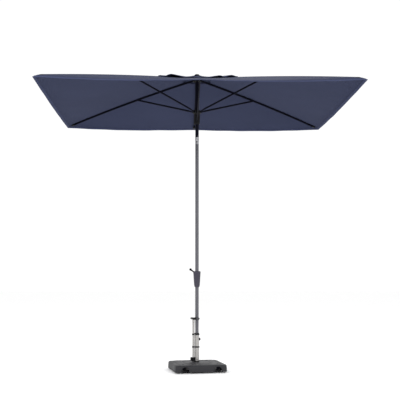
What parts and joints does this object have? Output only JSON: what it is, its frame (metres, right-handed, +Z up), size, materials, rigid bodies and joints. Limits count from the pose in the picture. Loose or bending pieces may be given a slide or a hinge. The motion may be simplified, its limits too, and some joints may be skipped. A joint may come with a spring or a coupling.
{
  "type": "patio umbrella with base",
  "caption": "Centre-pole patio umbrella with a rectangular vented canopy, crank, tilt joint and a square castor base with a carrying handle.",
  "frame": {"origin": "on the ground, on the mast's axis", "axes": "+Z up along the mast, +X along the canopy's long side, +Y along its short side, away from the viewer"},
  "size_m": [2.5012, 2.0012, 2.551],
  "materials": {
    "powder_coated_anthracite": "satin powder coat",
    "near_black_paint": "satin powder coat",
    "stainless_steel": "brushed along the tube",
    "chrome_plate": "bright",
    "bare_steel": "zinc plated",
    "cast_iron": "rough, hidden in the base",
    "base_grey_plastic": "fine grained",
    "housing_grey_plastic": "satin moulded",
    "castor_rubber": "matt",
    "slate_fabric": "woven polyester",
    "braided_cord": "braided",
    "black_plastic": "satin moulded"
  },
  "bodies": {
    "base": {"base_shell": "base_grey_plastic", "base_ballast": "cast_iron", "socket_flange": "bare_steel", "socket_tube": "stainless_steel", "socket_foot_ring": "black_plastic", "socket_bush": "black_plastic", "socket_lower_bush": "black_plastic", "upper_strap": "black_plastic", "lower_strap": "black_plastic", "handle_foot_clamp": "black_plastic"},
    "mast_clamp_knob": {"mast_clamp_knob": "black_plastic"},
    "handle_lock_knob": {"handle_lock_knob": "black_plastic"},
    "handle": {"handle_tube": "stainless_steel", "handle_grip": "black_plastic"},
    "castor_near_left": {"castor_fork_near_left": "near_black_paint"},
    "wheel_near_left": {"castor_wheel_near_left": "castor_rubber"},
    "castor_near_right": {"castor_fork_near_right": "near_black_paint"},
    "wheel_near_right": {"castor_wheel_near_right": "castor_rubber"},
    "castor_far_left": {"castor_fork_far_left": "near_black_paint"},
    "wheel_far_left": {"castor_wheel_far_left": "castor_rubber"},
    "castor_far_right": {"castor_fork_far_right": "near_black_paint"},
    "wheel_far_right": {"castor_wheel_far_right": "castor_rubber"},
    "brake_near_left": {"brake_lever_near_left": "black_plastic"},
    "brake_far_right": {"brake_lever_far_right": "black_plastic"},
    "mast": {"lower_mast": "powder_coated_anthracite", "crank_housing_front": "housing_grey_plastic", "crank_housing_rear": "housing_grey_plastic", "tilt_socket": "chrome_plate", "tilt_pin": "bare_steel", "lift_cord_lower": "braided_cord"},
    "crank": {"crank_shaft": "bare_steel", "cord_drum": "black_plastic", "crank_arm": "near_black_paint"},
    "crank_knob": {"crank_knob": "black_plastic"},
    "tilt_button": {"tilt_button": "black_plastic"},
    "upper_mast": {"tilt_knuckle": "chrome_plate", "upper_mast": "near_black_paint", "top_hub": "black_plastic", "hub_ring_wire": "bare_steel", "finial": "black_plastic", "pulley_pin": "bare_steel", "lift_cord_upper": "braided_cord", "lift_cord_fall": "braided_cord", "canopy": "slate_fabric", "vent_cap": "slate_fabric"},
    "cord_pulley": {"cord_pulley": "black_plastic"},
    "rib_near_mid": {"rib_near_mid": "near_black_paint"},
    "strut_near_mid": {"strut_near_mid": "near_black_paint"},
    "rib_near_right": {"rib_near_right": "near_black_paint"},
    "strut_near_right": {"strut_near_right": "near_black_paint"},
    "rib_far_right": {"rib_far_right": "near_black_paint"},
    "strut_far_right": {"strut_far_right": "near_black_paint"},
    "rib_far_mid": {"rib_far_mid": "near_black_paint"},
    "strut_far_mid": {"strut_far_mid": "near_black_paint"},
    "rib_far_left": {"rib_far_left": "near_black_paint"},
    "strut_far_left": {"strut_far_left": "near_black_paint"},
    "rib_near_left": {"rib_near_left": "near_black_paint"},
    "strut_near_left": {"strut_near_left": "near_black_paint"},
    "runner": {"runner": "black_plastic"}
  },
  "joints": [
    {"name": "canopy_fold", "type": "hinge", "parent": "upper_mast", "child": "rib_near_mid", "pos_m": [0, -0.027, 2.5], "axis": [-1, 0, 0], "range_deg": [-70.49, 0], "deforming": ["canopy", "vent_cap", "lift_cord_fall"]},
    {"name": "strut_hinge_near_mid", "type": "hinge", "parent": "rib_near_mid", "child": "strut_near_mid", "pos_m": [0, -0.73072, 2.3165], "axis": [-1, 0, 0], "range_deg": [0, 141.18]},
    {"name": "rib_hinge_near_right", "type": "hinge", "parent": "upper_mast", "child": "rib_near_right", "pos_m": [0.02108, -0.01687, 2.5], "axis": [-0.6247, -0.7809, 0], "range_deg": [-78.12, 0]},
    {"name": "strut_hinge_near_right", "type": "hinge", "parent": "rib_near_right", "child": "strut_near_right", "pos_m": [0.54348, -0.43479, 2.41421], "axis": [-0.6247, -0.7809, 0], "range_deg": [0, 146.84]},
    {"name": "rib_hinge_far_right", "type": "hinge", "parent": "upper_mast", "child": "rib_far_right", "pos_m": [0.02108, 0.01687, 2.5], "axis": [0.6247, -0.7809, 0], "range_deg": [-78.12, 0]},
    {"name": "strut_hinge_far_right", "type": "hinge", "parent": "rib_far_right", "child": "strut_far_right", "pos_m": [0.54348, 0.43479, 2.41421], "axis": [0.6247, -0.7809, 0], "range_deg": [0, 146.84]},
    {"name": "rib_hinge_far_mid", "type": "hinge", "parent": "upper_mast", "child": "rib_far_mid", "pos_m": [0, 0.027, 2.5], "axis": [1, 0, 0], "range_deg": [-70.69, 0]},
    {"name": "strut_hinge_far_mid", "type": "hinge", "parent": "rib_far_mid", "child": "strut_far_mid", "pos_m": [0, 0.73072, 2.3165], "axis": [1, 0, 0], "range_deg": [0, 141.18]},
    {"name": "rib_hinge_far_left", "type": "hinge", "parent": "upper_mast", "child": "rib_far_left", "pos_m": [-0.02108, 0.01687, 2.5], "axis": [0.6247, 0.7809, 0], "range_deg": [-78.12, 0]},
    {"name": "strut_hinge_far_left", "type": "hinge", "parent": "rib_far_left", "child": "strut_far_left", "pos_m": [-0.54348, 0.43479, 2.41421], "axis": [0.6247, 0.7809, 0], "range_deg": [0, 146.84]},
    {"name": "rib_hinge_near_left", "type": "hinge", "parent": "upper_mast", "child": "rib_near_left", "pos_m": [-0.02108, -0.01687, 2.5], "axis": [-0.6247, 0.7809, 0], "range_deg": [-78.12, 0]},
    {"name": "strut_hinge_near_left", "type": "hinge", "parent": "rib_near_left", "child": "strut_near_left", "pos_m": [-0.54348, -0.43479, 2.41421], "axis": [-0.6247, 0.7809, 0], "range_deg": [0, 146.84]},
    {"name": "runner_hinge", "type": "hinge", "parent": "strut_near_mid", "child": "runner", "pos_m": [0, -0.027, 2.133], "axis": [-1, 0, 0], "range_deg": [-70.69, 0]},
    {"name": "crank_turn", "type": "hinge", "parent": "mast", "child": "crank", "pos_m": [0, 0.03, 0.807], "axis": [0, 1, 0], "range_deg": [-6205, 0]},
    {"name": "pulley_spin", "type": "hinge", "parent": "upper_mast", "child": "cord_pulley", "pos_m": [0.00975, 0, 2.4515], "axis": [0, 1, 0], "continuous": true},
    {"name": "crank_knob_spin", "type": "hinge", "parent": "crank", "child": "crank_knob", "pos_m": [-0.053, 0.06, 0.85], "axis": [0, 1, 0], "continuous": true},
    {"name": "mast_tilt", "type": "hinge", "parent": "mast", "child": "upper_mast", "pos_m": [0, 0, 1.965], "axis": [1, 0, 0], "range_deg": [0, 30]},
    {"name": "tilt_button_press", "type": "slide", "parent": "mast", "child": "tilt_button", "axis": [0, 1, 0], "range_m": [0, 0.002], "stiffness_N_per_m": 400, "springref_m": -0.001},
    {"name": "mast_turn", "type": "hinge", "parent": "base", "child": "mast", "pos_m": [0, 0, 0.3], "axis": [0, 0, 1], "continuous": true},
    {"name": "mast_clamp_turn", "type": "hinge", "parent": "base", "child": "mast_clamp_knob", "pos_m": [0, 0, 0.263], "axis": [0.9874, 0.158, 0], "continuous": true},
    {"name": "handle_lock_turn", "type": "hinge", "parent": "base", "child": "handle_lock_knob", "pos_m": [-0.03012, -0.00482, 0.0985], "axis": [-0.9874, -0.158, 0], "continuous": true},
    {"name": "handle_slide", "type": "slide", "parent": "base", "child": "handle", "axis": [0, 0, 1], "range_m": [0, 0.1]},
    {"name": "castor_swivel_near_left", "type": "hinge", "parent": "base", "child": "castor_near_left", "pos_m": [-0.12699, -0.18742, 0.055], "axis": [0, 0, 1], "continuous": true},
    {"name": "wheel_spin_near_left", "type": "hinge", "parent": "castor_near_left", "child": "wheel_near_left", "pos_m": [-0.10921, -0.18457, 0.025], "axis": [-0.158, 0.9874, 0], "continuous": true},
    {"name": "castor_swivel_near_right", "type": "hinge", "parent": "base", "child": "castor_near_right", "pos_m": [0.17912, -0.13844, 0.055], "axis": [0, 0, 1], "continuous": true},
    {"name": "wheel_spin_near_right", "type": "hinge", "parent": "castor_near_right", "child": "wheel_near_right", "pos_m": [0.16135, -0.14128, 0.025], "axis": [-0.158, 0.9874, 0], "continuous": true},
    {"name": "castor_swivel_far_left", "type": "hinge", "parent": "base", "child": "castor_far_left", "pos_m": [-0.17912, 0.13844, 0.055], "axis": [0, 0, 1], "continuous": true},
    {"name": "wheel_spin_far_left", "type": "hinge", "parent": "castor_far_left", "child": "wheel_far_left", "pos_m": [-0.16135, 0.14128, 0.025], "axis": [-0.158, 0.9874, 0], "continuous": true},
    {"name": "castor_swivel_far_right", "type": "hinge", "parent": "base", "child": "castor_far_right", "pos_m": [0.12699, 0.18742, 0.055], "axis": [0, 0, 1], "continuous": true},
    {"name": "wheel_spin_far_right", "type": "hinge", "parent": "castor_far_right", "child": "wheel_far_right", "pos_m": [0.10921, 0.18457, 0.025], "axis": [-0.158, 0.9874, 0], "continuous": true},
    {"name": "brake_press_near_left", "type": "hinge", "parent": "castor_near_left", "child": "brake_near_left", "pos_m": [-0.10921, -0.18457, 0.025], "axis": [-0.158, 0.9874, 0], "range_deg": [0, 18]},
    {"name": "brake_press_far_right", "type": "hinge", "parent": "castor_far_right", "child": "brake_far_right", "pos_m": [0.10921, 0.18457, 0.025], "axis": [0.158, -0.9874, 0], "range_deg": [0, 18]}
  ],
  "couplings": [
    {"joint": "strut_hinge_near_mid", "follows": "canopy_fold", "ratio": -2},
    {"joint": "rib_hinge_near_right", "follows": "canopy_fold", "ratio": 1.1054},
    {"joint": "strut_hinge_near_right", "follows": "canopy_fold", "ratio": -2.0803},
    {"joint": "rib_hinge_far_right", "follows": "canopy_fold", "ratio": 1.1054},
    {"joint": "strut_hinge_far_right", "follows": "canopy_fold", "ratio": -2.0803},
    {"joint": "rib_hinge_far_mid", "follows": "canopy_fold", "ratio": 1},
    {"joint": "strut_hinge_far_mid", "follows": "canopy_fold", "ratio": -2},
    {"joint": "rib_hinge_far_left", "follows": "canopy_fold", "ratio": 1.1054},
    {"joint": "strut_hinge_far_left", "follows": "canopy_fold", "ratio": -2.0803},
    {"joint": "rib_hinge_near_left", "follows": "canopy_fold", "ratio": 1.1054},
    {"joint": "strut_hinge_near_left", "follows": "canopy_fold", "ratio": -2.0803},
    {"joint": "runner_hinge", "follows": "canopy_fold", "ratio": 1},
    {"joint": "crank_turn", "follows": "canopy_fold", "ratio": 87.962}
  ]
}
